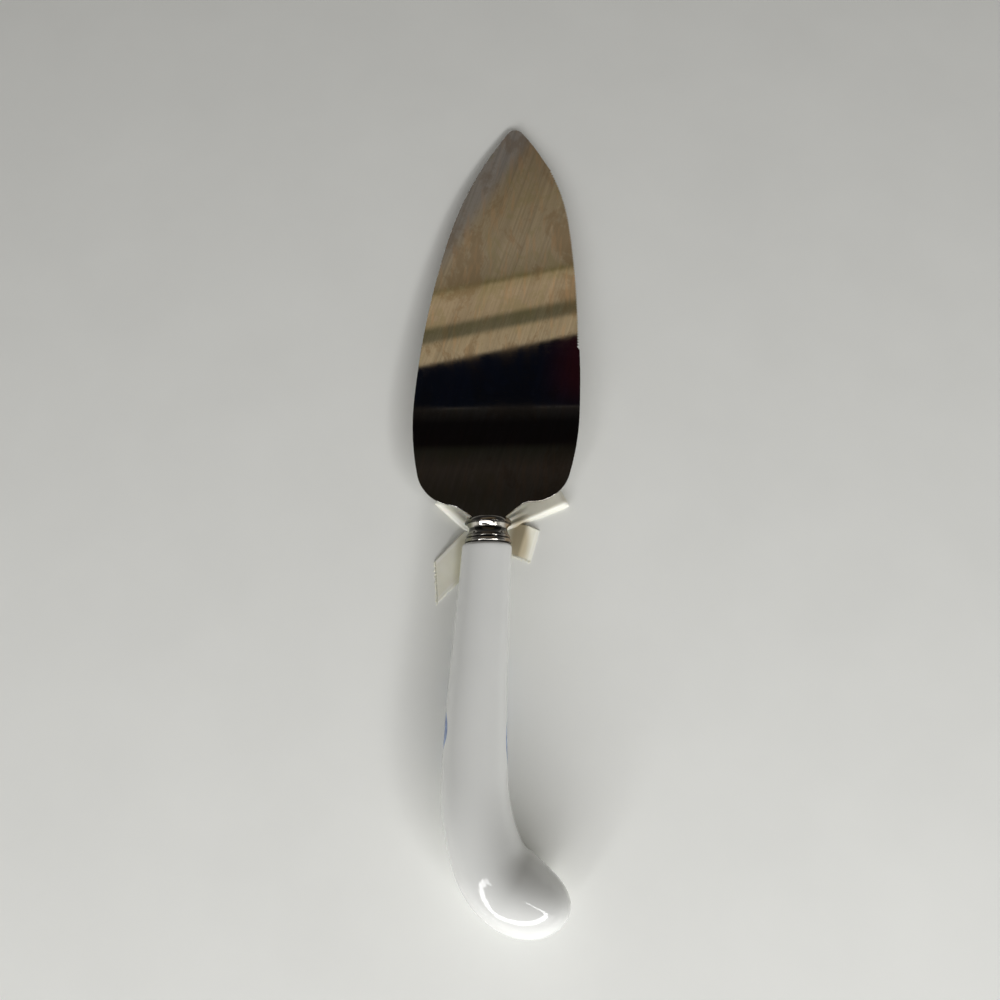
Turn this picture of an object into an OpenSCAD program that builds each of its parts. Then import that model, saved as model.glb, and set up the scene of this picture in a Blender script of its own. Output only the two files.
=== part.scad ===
// Cake server: leaf-shaped steel blade, turned collar, curled porcelain handle and a ribbon bow.
// It lies on a table as it is put down, back face up: tip, bow and bulb of the handle touch the table.
// +Y runs from the handle to the tip, +Z is up, and the origin is under the middle of its outline.

/* [Blade] */
// Length of the blade from the collar to the tip
blade_l = 149.4; // [120:0.2:170]
// Width of the blade at its widest
blade_w = 54.2; // [46:0.2:66]
// Thickness of the blade's sheet
blade_t = 1.5; // [1:0.1:2]
// Distance of the widest place from the collar
belly_y = 37.6; // [34:0.2:44]
// Radius of the rounded tip
nose_r = 3; // [1.5:0.5:5]
// Radius of the side below the widest place
heel_r = 90; // [80:1:120]
// Radius of the round shoulders
shoulder_r = 12.6; // [11:0.2:14]
// Distance of the left shoulder from the collar
shoulder_left_y = 3.6; // [2.6:0.1:5]
// Distance of the right shoulder from the collar
shoulder_right_y = 6.5; // [5:0.1:7]
// Width of the neck where it meets the collar
neck_w = 8.2; // [8:0.1:10]
// Width at which the neck runs out into the shoulders
neck_root_w = 21; // [18:0.2:24]
// Radius of the fillet between the neck and the shoulders
neck_fillet_r = 5; // [2:0.5:6]

/* [Serration] */
// Distance from the tip to the first tooth
serration_start = 16; // [10:1:30]
// Length of the serrated stretch
serration_l = 72; // [40:1:80]
// Length from one tooth to the next
tooth_l = 1.03; // [0.9:0.01:2]
// Depth of a tooth
tooth_depth = 0.35; // [0.2:0.05:0.5]
// Depth to which the edge is ground back where the teeth end
grind_depth = 0.8; // [0.2:0.1:1.2]

/* [Tang] */
// Length of the tang inside the collar and the handle
tang_l = 46; // [30:1:54]
// Width of the tang in the slot of the collar
tang_w = 7.4; // [6:0.1:7.6]
// Width of the tang's end
tang_end_w = 4.6; // [3:0.1:5.5]
// Thickness of the tang, ground a little thinner than the sheet
tang_t = 1.3; // [0.8:0.1:1.4]

/* [Collar] */
// Length of the collar
collar_l = 7.8; // [7.6:0.1:12]
// Angle by which the collar sits askew on the tang
collar_angle = 3.6; // [0:0.1:4]
// Radius of the top flange
flange_r = 7.3; // [7.1:0.1:8]
// Thickness of the top flange
flange_t = 1.5; // [1:0.1:1.8]
// Radius of the flange's foot, where the waist starts
foot_r = 6.9; // [6.7:0.05:7]
// Length of the slope from the flange's foot down to the waist
slope_l = 1.2; // [0.8:0.1:1.4]
// Radius of the waist at its narrowest
waist_r = 5.9; // [5.7:0.1:6.3]
// Length of the hollow waist, its slope included
waist_l = 3.6; // [3.2:0.1:3.8]
// Radius of the small bead under the waist
bead_r = 6.85; // [6.6:0.05:7]
// Thickness of the small bead
bead_t = 0.7; // [0.5:0.1:0.9]
// Radius of the lower ring
ring_r = 7.25; // [7:0.05:8]
// Thickness of the collar's wall behind the waist
collar_wall = 0.9; // [0.6:0.1:1.2]
// Width of the turned grooves beside the bead
groove_w = 0.25; // [0.2:0.05:0.4]

/* [Handle] */
// Length of the straight part of the handle
straight_l = 35; // [25:0.2:50]
// Length of the gently swaying part
sway_l = 33; // [20:0.5:45]
// Radius of the gentle sway
sway_r = 568; // [300:2:800]
// Length of the bend between the sway and the curl
bend_l = 20.6; // [10:0.2:26]
// Radius of the bend
bend_r = 52; // [36:0.2:70]
// Length of the curled end
curl_l = 26.3; // [20:0.1:32]
// Radius of the curl
curl_r = 16.4; // [15:0.2:22]
// Length of the round end cap
cap_l = 16.8; // [12:0.2:19]
// Width of the handle at the collar
collar_end_w = 15.4; // [14.8:0.1:17]
// Width of the bulb
bulb_w = 21.4; // [18:0.2:24]
// Depth of the handle at the collar
collar_end_d = 15; // [14.8:0.1:17]
// Depth of the bulb
bulb_d = 21.8; // [20.4:0.2:26]
// Radius of the rounded rim beside the collar
rim_r = 0.7; // [0.4:0.1:1.2]
// Length over which the handle's skew at the collar is lost
settle_l = 14; // [8:0.5:20]
// Radius of the bore that holds the tang
bore_r = 4.2; // [3.9:0.1:5]
// Depth of the bore in the handle
bore_l = 42; // [40:1:60]

/* [Bow] */
// Width of the ribbon
ribbon_w = 10.5; // [8:0.5:12]
// Thickness of the ribbon
ribbon_t = 0.4; // [0.3:0.05:0.6]
// Length of the right loop from the middle of the knot
loop_right_l = 26.7; // [22:0.1:32]
// Length of the left loop, which is pulled in shorter
loop_left_l = 18.8; // [17:0.1:24]
// Height of a loop at its round end
loop_h = 4.2; // [3:0.1:5]
// Height of a loop beside the knot
loop_root_h = 1.9; // [1.6:0.1:2.4]
// Length of the left tail from the middle of the knot
tail_left_l = 23.4; // [18:0.1:28]
// Length of the right tail from the fold beside the knot
tail_right_l = 10.3; // [9.6:0.1:16]
// Direction of the right loop
loop_right_angle = 31.6; // [25:0.2:40]
// Direction of the left loop
loop_left_angle = 142; // [130:0.5:150]
// Direction of the left tail
tail_left_angle = 228.2; // [220:0.2:236]
// Direction of the right tail
tail_right_angle = 257; // [252:0.5:262]
// Distance of the right tail's fold from the middle of the knot, across the collar
tail_right_x = 11.3; // [10.8:0.1:11.6]
// Distance of the right tail's fold from the ribbon's roots, towards the blade
tail_right_y = 2.2; // [1.6:0.1:3]
// Angle at which the left tail's end is cut
cut_left_angle = 40; // [0:1:45]
// Angle at which the right tail's end is cut
cut_right_angle = 2; // [0:1:30]
// Width of the knot across the collar
knot_w = 9; // [7:0.1:10]
// Length of the knot along the collar, under the flange and the ring
knot_l = 7; // [5:0.1:8]
// Length of the knot's neck, which reaches up into the waist
neck_l = 1.9; // [1.5:0.1:2]
// Distance of the ribbon's roots from the middle of the knot, towards the blade
root_y = 1.4; // [0:0.1:2]
// Thickness of the glue between the knot and the waist
glue_t = 0.35; // [0.3:0.05:0.6]
// Radius of the dab of glue
glue_r = 0.9; // [0.6:0.1:0.95]

/* [Stance] */
// Height of the collar's axis above the table
axis_h = 9.2; // [8.8:0.1:10.2]

/* [Fits] */
// Clearance round the tang in the slot and in the cement
tang_gap = 0.1; // [0.05:0.05:0.2]
// Clearance between the neck and the collar's face
seat_gap = 0.05; // [0.05:0.05:0.2]
// Clearance of the cement in the bores
fill_gap = 0.05; // [0.05:0.05:0.15]
// Clearance between pieces of the bow
bow_gap = 0.1; // [0.05:0.05:0.3]

/* [Hidden] */

// Overrun of a cut past the face that it opens
cut = 1;
round_fn = 96;

// Shares of the blade's outline: where each side curve hands over to its tip curve
side_left_share = 0.56;
side_right_share = 0.637;
side_width_share = 0.776;

// Height of the neck's root as a share of the shoulder's
neck_root_share = 0.93;

// Powers of the laws by which the handle swells to the bulb and rounds off
width_power = 1.29;
depth_power = 1.6;
cap_power = 2.2;
handle_sides = 40;
body_rings = 34;
cap_rings = 12;
rim_rings = 3;

// Shares of a loop and a tail: gathered width at the knot, and where the ribbon has spread out
gather_share = 0.45;
spread_left_share = 0.3;
spread_right_share = 0.97;
spread_tail_share = 0.36;
knot_corner_share = 0.3;

function arc(c, r, from, to, steps) =
    [for (i = [0:steps]) let (a = from + (to - from) * i / steps) c + r * [cos(a), sin(a)]];

// Where the collar's faces cross the axis of the blade and the handle, and how they slope across it
collar_skew = tan(collar_angle);
face_y = collar_l / 2 * (1 / cos(collar_angle) - 1);
handle_start = collar_l + face_y;

// Blade outline: arcs that run into each other without a corner, from the shoulder up to the nose.
// Each side has its own length share s and shoulder height y, so that the toothed edge is the fuller one.
half_w = blade_w / 2;
side_sag = (1 - side_width_share) * half_w;
heel_c = [half_w - heel_r, belly_y];
nose_c = [0, blade_l - nose_r];

function side_rise(s) = s * (blade_l - belly_y);
function side_r(s) = (pow(side_rise(s), 2) + side_sag * side_sag) / (2 * side_sag);
function side_turn(s) = asin(side_rise(s) / side_r(s));
function side_dir(s) = [cos(side_turn(s)), sin(side_turn(s))];
function side_c(s) = [half_w - side_r(s), belly_y];
function side_end(s) = side_c(s) + side_r(s) * side_dir(s);
function nose_way(s) = nose_c - side_end(s);
function tip_r(s) = let (way = nose_way(s))
    (nose_r * nose_r - way * way) / (2 * (way * side_dir(s) + nose_r));
function tip_c(s) = side_end(s) - tip_r(s) * side_dir(s);
function nose_turn(s) = let (way = nose_c - tip_c(s)) atan2(way[1], way[0]);
function heel_turn(y) = asin((belly_y - y - shoulder_r) / (heel_r - shoulder_r));
function shoulder_c(y) = [heel_c[0] + (heel_r - shoulder_r) * cos(heel_turn(y)), y + shoulder_r];

function half_outline(y, s) = concat(
    arc(shoulder_c(y), shoulder_r, -90, -heel_turn(y), 16),
    arc(heel_c, heel_r, -heel_turn(y), 0, 6),
    arc(side_c(s), side_r(s), 0, side_turn(s), 14),
    arc(tip_c(s), tip_r(s), side_turn(s), nose_turn(s), 12),
    arc(nose_c, nose_r, nose_turn(s), 90, 6));

right_edge = half_outline(shoulder_right_y, side_right_share);
left_edge = half_outline(shoulder_left_y, side_left_share);

// Distance of the plain right edge from the blade's axis at a height y above the shoulder
function edge_x(y) =
    y < belly_y ? heel_c[0] + sqrt(heel_r * heel_r - pow(y - belly_y, 2))
    : y < side_end(side_right_share)[1]
    ? side_c(side_right_share)[0] + sqrt(pow(side_r(side_right_share), 2) - pow(y - belly_y, 2))
    : tip_c(side_right_share)[0]
      + sqrt(pow(tip_r(side_right_share), 2) - pow(y - tip_c(side_right_share)[1], 2));

serration_top = blade_l - serration_start;
serration_low = serration_top - serration_l;
tooth_count = floor(serration_l / tooth_l);

// The edge is ground back a little more towards the lower end of the teeth
function ground_x(y) = edge_x(y) - grind_depth * pow((serration_top - y) / serration_l, 2);

serrated_edge = [for (i = [0:tooth_count - 1]) let (y = serration_low + i * tooth_l)
                 for (crest = [0, 1]) let (yy = y + crest * tooth_l / 2)
                 [ground_x(yy) - (1 - crest) * tooth_depth, yy]];

// Tangent arc of radius r in the corner b of the path a, b, c
function fillet(a, b, c, r) =
    let (u = (a - b) / norm(a - b), v = (c - b) / norm(c - b), half = acos(u * v) / 2,
         way = (u + v) / norm(u + v), mid = atan2(-way[1], -way[0]),
         sweep = (cross(u, v) > 0 ? 1 : -1) * (90 - half))
    arc(b + way * r / sin(half), r, mid + sweep, mid - sweep, 5);

// The neck's side, from the collar up to the shoulder at height y; side is 1 at the right and -1 at the left
function neck_side(side, y, edge) =
    let (foot = [side * neck_w / 2, face_y + seat_gap + side * neck_w / 2 * collar_skew],
         root = [side * neck_root_w / 2, neck_root_share * y])
    concat([foot], fillet(foot, root, edge, neck_fillet_r));

right_outline = concat(
    neck_side(1, shoulder_right_y, right_edge[0]),
    [for (p = right_edge) if (p[1] < serration_low) p],
    [[edge_x(serration_low), serration_low]],
    serrated_edge,
    [for (p = right_edge) if (p[1] > serration_top) p]);

left_neck = neck_side(-1, shoulder_left_y, [-left_edge[0][0], left_edge[0][1]]);
left_outline = concat(
    [for (i = [len(left_edge) - 2:-1:0]) [-left_edge[i][0], left_edge[i][1]]],
    [for (i = [len(left_neck) - 1:-1:0]) left_neck[i]]);

// Handle: its spine runs straight, sways gently, bends and curls, all in the plane of the blade.
bend_start = straight_l + sway_l;
curl_start = bend_start + bend_l;
spine_l = curl_start + curl_l;
cap_start = spine_l - cap_l;

// Angle turned at s along an arc that starts at from, and the end of an arc run from heading a to b
function turned(s, from, l, r) = min(max(s - from, 0), l) / r * 180 / PI;
function arc_end(p, a, b, r) = p + r * [sin(b) - sin(a), cos(a) - cos(b)];

function heading(s) = -90 + turned(s, straight_l, sway_l, sway_r)
    + turned(s, bend_start, bend_l, bend_r) + turned(s, curl_start, curl_l, curl_r);

sway_end = arc_end([0, -straight_l], -90, heading(bend_start), sway_r);
bend_end = arc_end(sway_end, heading(bend_start), heading(curl_start), bend_r);

function spine(s) = let (h = heading(s))
    s <= straight_l ? [0, -s]
    : s <= bend_start ? arc_end([0, -straight_l], -90, h, sway_r)
    : s <= curl_start ? arc_end(sway_end, heading(bend_start), h, bend_r)
    : arc_end(bend_end, heading(curl_start), h, curl_r);

function swell(s, start, end, power) =
    (start + (end - start) * pow(min(s, cap_start) / cap_start, power)) / 2;
function cap_share(s) = pow(1 - pow(max(s - cap_start, 0) / cap_l, cap_power), 1 / cap_power);

// The rim beside the collar is a quarter round
function rim_inset(s) = s < rim_r ? rim_r - sqrt(rim_r * rim_r - pow(rim_r - s, 2)) : 0;

function half_wide(s) = swell(s, collar_end_w, bulb_w, width_power) * cap_share(s) - rim_inset(s);
function half_deep(s) = swell(s, collar_end_d, bulb_d, depth_power) * cap_share(s) - rim_inset(s);

// The first rings turn to lie flat on the askew collar
function ring_turn(s) = heading(s) + collar_angle * pow(1 - min(s / settle_l, 1), 2);

stations = concat(
    [for (i = [0:rim_rings - 1]) rim_r * (1 - cos(90 * i / rim_rings))],
    [for (i = [0:body_rings]) rim_r + (cap_start - rim_r) * i / body_rings],
    [for (i = [1:cap_rings - 1]) cap_start + cap_l * sin(90 * i / cap_rings)]);

function ring(s) = let (c = spine(s), h = ring_turn(s), w = half_wide(s), d = half_deep(s))
    [for (j = [0:handle_sides - 1]) let (a = 360 * j / handle_sides)
     [c[0] - sin(h) * w * cos(a), c[1] + cos(h) * w * cos(a), d * sin(a)]];

handle_tip = spine(spine_l);
handle_points = concat([[0, 0, 0]], [for (s = stations) each ring(s)], [[handle_tip[0], handle_tip[1], 0]]);
last_ring = len(stations) - 1;

function at(i, j) = 1 + i * handle_sides + j % handle_sides;

handle_faces = concat(
    [for (j = [0:handle_sides - 1]) [0, at(0, j), at(0, j + 1)]],
    [for (i = [0:last_ring - 1]) for (j = [0:handle_sides - 1])
     each [[at(i, j), at(i + 1, j), at(i + 1, j + 1)], [at(i, j), at(i + 1, j + 1), at(i, j + 1)]]],
    [for (j = [0:handle_sides - 1]) [len(handle_points) - 1, at(last_ring, j + 1), at(last_ring, j)]]);

// Stance: the tip's lower edge and the bulb both touch the table, with the collar at its own height.
blade_tilt = asin(axis_h / norm([blade_l, blade_t / 2])) - atan(blade_t / 2 / blade_l);
bulb_reach = handle_start - spine(cap_start)[1];
handle_tilt = acos(axis_h / norm([bulb_reach, bulb_d / 2])) - atan(bulb_reach / (bulb_d / 2));

// Middle of the outline as seen from above
handle_right = max([for (p = handle_points) p[0]]);
handle_back = (handle_start - min([for (p = handle_points) p[1]])) * cos(handle_tilt);
mid_x = (handle_right - half_w) / 2;
mid_y = (blade_l * cos(blade_tilt) - handle_back) / 2;

module on_table() { translate([-mid_x, -mid_y, 0]) children(); }
module on_blade() { on_table() translate([0, 0, axis_h]) rotate([-blade_tilt, 0, 0]) children(); }
module on_handle() { on_table() translate([0, 0, axis_h]) rotate([-handle_tilt, 0, 0]) children(); }

// The collar is turned by its skew about its middle
module on_collar() {
    on_handle() translate([0, -collar_l / 2, 0]) rotate([0, 0, collar_angle]) translate([0, collar_l / 2, 0])
        children();
}

// Turns what is drawn round the Z axis so that its axis runs along -Y, from the collar's top downwards
module along_handle() { rotate([90, 0, 0]) children(); }

module tang(gap) {
    half = tang_w / 2 + gap;
    half_end = tang_end_w / 2 + gap;
    translate([0, 0, -tang_t / 2 - gap])
        linear_extrude(tang_t + 2 * gap)
            polygon([[half, blade_t], [-half, blade_t], [-half, -collar_l],
                     [-half_end, -tang_l - gap], [half_end, -tang_l - gap], [half, -collar_l]]);
}

module blade() {
    color([0.72, 0.72, 0.72]) {
        on_blade() translate([0, 0, -blade_t / 2])
            linear_extrude(blade_t) polygon(concat(right_outline, left_outline));
        on_handle() tang(0);
    }
}

// Collar: flange, hollow waist, bead and lower ring, turned as one thin-walled piece.
waist_top = flange_t;
waist_low = flange_t + waist_l;
bead_top = waist_low + groove_w;
bead_low = bead_top + bead_t;
ring_top = bead_low + groove_w;
groove_r = bead_r - groove_w;
cavity_r = waist_r - collar_wall;
slope_low = flange_t + slope_l;

// A round edge of radius r and thickness t that starts at height y, as points from top to bottom
function round_edge(r, y, t) = arc([r - t / 2, y + t / 2], t / 2, -90, 90, 10);

// The waist slopes in from the flange's foot and flares out to the bead's groove in an arc
flare_l = waist_low - slope_low;
flare_depth = groove_r - waist_r;
flare_r = (flare_l * flare_l + flare_depth * flare_depth) / (2 * flare_depth);
flare = arc([waist_r + flare_r, slope_low], flare_r, 180, 180 - asin(flare_l / flare_r), 10);

collar_profile = concat(
    [[0, 0]],
    round_edge(flange_r, 0, flange_t),
    [[foot_r, waist_top]],
    flare,
    round_edge(bead_r, bead_top, bead_t),
    [[groove_r, bead_low], [groove_r, ring_top]],
    round_edge(ring_r, ring_top, collar_l - ring_top),
    [[0, collar_l]]);

module ferrule() {
    color([0.82, 0.82, 0.84]) difference() {
        on_collar() along_handle() difference() {
            rotate_extrude($fn = round_fn) polygon(collar_profile);
            translate([0, 0, flange_t]) cylinder(r = cavity_r, h = collar_l, $fn = round_fn);
        }
        on_handle() tang(tang_gap);
    }
}

module handle() {
    color([0.93, 0.93, 0.91]) on_handle() translate([0, -handle_start, 0]) difference() {
        polyhedron(points = handle_points, faces = handle_faces);
        along_handle() translate([0, 0, -cut]) cylinder(r = bore_r, h = bore_l + cut, $fn = round_fn);
    }
}

module handle_cement() {
    color([0.78, 0.76, 0.7]) difference() {
        union() {
            on_collar() along_handle() translate([0, 0, flange_t + fill_gap])
                cylinder(r = cavity_r - fill_gap, h = collar_l - flange_t - fill_gap, $fn = round_fn);
            on_handle() along_handle() translate([0, 0, collar_l - cut])
                cylinder(r = bore_r - fill_gap, h = bore_l + cut - fill_gap, $fn = round_fn);
        }
        on_handle() tang(tang_gap);
    }
}

// Bow: one ribbon, squashed between the collar and the table. Its knot sits in the waist.
knot_y = -(waist_top + waist_low) / 2;
knot_top = axis_h - waist_r - glue_t;
knot_slab_h = axis_h - flange_r - bow_gap;

module rounded_plan(w, l) {
    r = knot_corner_share * min(w, l);
    for (x = [-1, 1]) for (y = [-1, 1])
        translate([x * (w / 2 - r), y * (l / 2 - r)]) circle(r = r, $fn = 32);
    square([w, l - 2 * r], center = true);
    square([w - 2 * r, l], center = true);
}

module knot_block(gap) {
    linear_extrude(knot_slab_h + gap) rounded_plan(knot_w + 2 * gap, knot_l + 2 * gap);
    linear_extrude(knot_top + gap) rounded_plan(knot_w / 2, neck_l);
}

module at_knot() { on_table() translate([0, knot_y, 0]) children(); }
module at_root(turn) { translate([0, root_y, 0]) rotate([0, 0, turn]) children(); }

module bow_knot() {
    color([0.88, 0.85, 0.74]) at_knot() knot_block(0);
}

module bow_glue() {
    color([0.9, 0.9, 0.86]) at_knot() translate([0, 0, knot_top])
        cylinder(r = glue_r, h = glue_t - fill_gap, $fn = 48);
}

// Outline of a loop from the side: two circles on the table joined by straight runs
module loop_side(l, inset) {
    r_end = loop_h / 2;
    r_root = loop_root_h / 2;
    u_end = l - r_end;
    top = 90 + 2 * atan((r_end - r_root) / (u_end - r_root));
    polygon(concat(arc([u_end, r_end], r_end - inset, -90, top, 20),
                   arc([r_root, r_root], r_root - inset, top, 270, 12)));
}

// A ribbon seen from above: gathered to a share of its width at its root, and spread out after a share
// of its length
module ribbon_plan(l, root_share, spread, slant) {
    narrow = root_share * ribbon_w / 2;
    wide = ribbon_w / 2;
    polygon([[0, -narrow], [spread * l, -wide], [l + wide * tan(slant), -wide],
             [l - wide * tan(slant), wide], [spread * l, wide], [0, narrow]]);
}

module loop_solid(l, spread) {
    intersection() {
        rotate([90, 0, 0]) linear_extrude(ribbon_w, center = true) difference() {
            loop_side(l, 0);
            loop_side(l, ribbon_t);
        }
        linear_extrude(loop_h) ribbon_plan(l, gather_share, spread, 0);
    }
}

// Space that a loop takes up, which the tails keep clear of
module loop_space(l, spread) {
    intersection() {
        rotate([90, 0, 0]) linear_extrude(ribbon_w + 2 * bow_gap, center = true) loop_side(l, -bow_gap);
        linear_extrude(loop_h, center = true) ribbon_plan(l + bow_gap, gather_share, spread, 0);
    }
}

// A tail slopes from the knot down to the table and lies flat to its cut end
module tail_side(l) {
    high = knot_slab_h - ribbon_t;
    foot = spread_tail_share * l;
    steps = 12;
    slope = [for (i = [0:steps]) [foot + foot * i / steps, high * (1 + cos(180 * i / steps)) / 2]];
    top = [for (i = [steps:-1:0]) slope[i] + [0, ribbon_t]];
    far = l + ribbon_w;
    polygon(concat([[0, high]], slope, [[far, 0], [far, ribbon_t]], top, [[0, high + ribbon_t]]));
}

module tail_solid(l, root_share, slant) {
    intersection() {
        rotate([90, 0, 0]) linear_extrude(ribbon_w + 2 * bow_gap, center = true) tail_side(l);
        linear_extrude(knot_slab_h + cut) ribbon_plan(l, root_share, spread_tail_share, slant);
    }
}

module bow_loop(turn, l, spread) {
    color([0.87, 0.84, 0.72]) at_knot() difference() {
        at_root(turn) loop_solid(l, spread);
        knot_block(bow_gap / 2);
    }
}

module bow_tail(root, turn, l, root_share, slant) {
    color([0.9, 0.87, 0.77]) at_knot() difference() {
        translate(root) at_root(turn) tail_solid(l, root_share, slant);
        knot_block(bow_gap / 2);
        at_root(loop_left_angle) loop_space(loop_left_l, spread_left_share);
        at_root(loop_right_angle) loop_space(loop_right_l, spread_right_share);
    }
}

module bow_loop_left() { bow_loop(loop_left_angle, loop_left_l, spread_left_share); }
module bow_loop_right() { bow_loop(loop_right_angle, loop_right_l, spread_right_share); }
module bow_tail_left() {
    bow_tail([0, 0, 0], tail_left_angle, tail_left_l, gather_share, -cut_left_angle);
}
module bow_tail_right() {
    bow_tail([tail_right_x, tail_right_y, 0], tail_right_angle, tail_right_l, 1, -cut_right_angle);
}

blade();
ferrule();
handle();
handle_cement();
bow_knot();
bow_glue();
bow_loop_left();
bow_loop_right();
bow_tail_left();
bow_tail_right();
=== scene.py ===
import math
import random

import bmesh
import bpy
from mathutils import Matrix, Vector


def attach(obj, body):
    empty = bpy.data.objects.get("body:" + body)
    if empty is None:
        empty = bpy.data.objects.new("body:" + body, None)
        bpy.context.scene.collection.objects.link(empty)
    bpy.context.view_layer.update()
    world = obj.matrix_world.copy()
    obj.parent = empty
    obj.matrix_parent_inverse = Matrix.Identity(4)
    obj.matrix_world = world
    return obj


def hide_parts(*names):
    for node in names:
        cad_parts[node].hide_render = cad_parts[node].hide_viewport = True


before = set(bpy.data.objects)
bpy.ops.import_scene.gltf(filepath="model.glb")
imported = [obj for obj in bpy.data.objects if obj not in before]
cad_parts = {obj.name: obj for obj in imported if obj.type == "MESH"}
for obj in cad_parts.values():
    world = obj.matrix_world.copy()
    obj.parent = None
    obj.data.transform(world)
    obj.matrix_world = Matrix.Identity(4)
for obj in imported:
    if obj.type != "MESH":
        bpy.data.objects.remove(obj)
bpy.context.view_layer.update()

scene = bpy.context.scene
scene.view_settings.view_transform = "Standard"
mm = 0.001
mergeGap = 0.002 * mm

# Where the pieces lie, as in the CAD source: the collar's top on the axis is the origin of both halves
stance = {
    "axisHigh": 9.2 * mm,
    "middleX": 1.18677 * mm,
    "middleY": 17.2866 * mm,
    "bladeTilt": math.radians(3.24282),
    "handleTilt": math.radians(0.949663),
    "collarLong": 7.8 * mm,
    "collarSkew": math.radians(3.6),
    "handleStart": 7.80771 * mm,
}
jointPlace = Matrix.Translation((-stance["middleX"], -stance["middleY"], stance["axisHigh"]))
onBlade = jointPlace @ Matrix.Rotation(-stance["bladeTilt"], 4, "X")
onHandle = jointPlace @ Matrix.Rotation(-stance["handleTilt"], 4, "X")
collarMiddle = Matrix.Translation((0, -stance["collarLong"] / 2, 0))
onCollar = onHandle @ collarMiddle @ Matrix.Rotation(stance["collarSkew"], 4, "Z") @ collarMiddle.inverted()
alongCollar = onCollar @ Matrix.Rotation(math.radians(90), 4, "X")
onTable = Matrix.Translation((-stance["middleX"], -stance["middleY"], 0))


# Small helpers for nodes and meshes
def addNode(tree, kind, inputs=None, **settings):
    node = tree.nodes.new(kind)
    for key, value in settings.items():
        setattr(node, key, value)
    for key, value in (inputs or {}).items():
        if isinstance(value, bpy.types.NodeSocket):
            tree.links.new(value, node.inputs[key])
        else:
            node.inputs[key].default_value = value
    return node


def maths(tree, operation, first, second=0.0):
    return addNode(tree, "ShaderNodeMath", {0: first, 1: second}, operation=operation).outputs[0]


def times(tree, first, second):
    return maths(tree, "MULTIPLY", first, second)


def minus(tree, first, second):
    return maths(tree, "SUBTRACT", first, second)


def vectorMaths(tree, operation, first, second=(0, 0, 0)):
    node = addNode(tree, "ShaderNodeVectorMath", {0: first, 1: second}, operation=operation)
    return node.outputs["Value" if operation in ("DOT_PRODUCT", "LENGTH") else "Vector"]


def between(tree, value, low, high, toLow=0.0, toHigh=1.0, smooth=True):
    inputs = {"Value": value, "From Min": low, "From Max": high, "To Min": toLow, "To Max": toHigh}
    kind = "SMOOTHSTEP" if smooth else "LINEAR"
    return addNode(tree, "ShaderNodeMapRange", inputs, interpolation_type=kind).outputs["Result"]


def ramp(tree, factor, stops, ease="LINEAR"):
    node = addNode(tree, "ShaderNodeValToRGB", {"Fac": factor})
    node.color_ramp.interpolation = ease
    elements = node.color_ramp.elements
    while len(elements) < len(stops):
        elements.new(0.5)
    for element, (place, colour) in zip(elements, stops):
        element.position = place
        element.color = (*colour, 1) if len(colour) == 3 else colour
    return node.outputs["Color"]


def mixColours(tree, factor, first, second, blend="MIX"):
    node = addNode(tree, "ShaderNodeMix", data_type="RGBA", blend_type=blend)
    for socket, value in ((node.inputs[0], factor), (node.inputs[6], first), (node.inputs[7], second)):
        if isinstance(value, bpy.types.NodeSocket):
            tree.links.new(value, socket)
        elif isinstance(value, (int, float)):
            socket.default_value = value
        else:
            socket.default_value = (*value, 1)
    return node.outputs[2]


def newMaterial(name):
    material = bpy.data.materials.new(name)
    material.use_nodes = True
    tree = material.node_tree
    tree.nodes.clear()
    output = tree.nodes.new("ShaderNodeOutputMaterial")
    shader = tree.nodes.new("ShaderNodeBsdfPrincipled")
    tree.links.new(shader.outputs["BSDF"], output.inputs["Surface"])
    return material, tree, shader


def objectPlace(tree, turn=0.0, scale=(1, 1, 1), shift=(0, 0, 0)):
    place = addNode(tree, "ShaderNodeTexCoord").outputs["Object"]
    inputs = {"Vector": place, "Rotation": (0, 0, turn), "Scale": scale, "Location": shift}
    return addNode(tree, "ShaderNodeMapping", inputs).outputs["Vector"]


def noiseAt(tree, place, scale, detail=3.0, roughness=0.5, distortion=0.0):
    inputs = {"Vector": place, "Scale": scale, "Detail": detail, "Roughness": roughness,
              "Distortion": distortion}
    return addNode(tree, "ShaderNodeTexNoise", inputs).outputs["Fac"]


def bumpFrom(tree, height, distance, strength=1.0, normal=None):
    inputs = {"Height": height, "Distance": distance, "Strength": strength}
    if normal is not None:
        inputs["Normal"] = normal
    return addNode(tree, "ShaderNodeBump", inputs).outputs["Normal"]


def showPiece(name, mesh, material, stoodFor=(), sharpAngle=35):
    piece = bpy.data.objects.new(name, mesh)
    scene.collection.objects.link(piece)
    mesh.materials.clear()
    mesh.materials.append(material)
    mesh.shade_smooth()
    mesh.set_sharp_from_angle(angle=math.radians(sharpAngle))
    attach(piece, "root")
    if stoodFor:
        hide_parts(*stoodFor)
    return piece


def meshFrom(name, bm, outward=True):
    if outward:
        bmesh.ops.recalc_face_normals(bm, faces=bm.faces)
    mesh = bpy.data.meshes.new(name)
    bm.to_mesh(mesh)
    bm.free()
    return mesh


def shade(colour, share):
    return tuple(share * c for c in colour)


def smoothStep(x):
    x = min(max(x, 0.0), 1.0)
    return x * x * (3 - 2 * x)


camera = {"place": (4.7147 * mm, -56.6728 * mm, 213 * mm), "tip": 12.7, "turn": 3.578, "lens": 24}
cameraData = bpy.data.cameras.new("camera")
cameraData.lens = camera["lens"]
cameraData.sensor_width = 36
cameraData.clip_start = 0.01
cameraObject = bpy.data.objects.new("camera", cameraData)
cameraObject.location = camera["place"]
cameraObject.rotation_euler = (math.radians(camera["tip"]), 0, math.radians(camera["turn"]))
scene.collection.objects.link(cameraObject)
scene.camera = cameraObject


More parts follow.
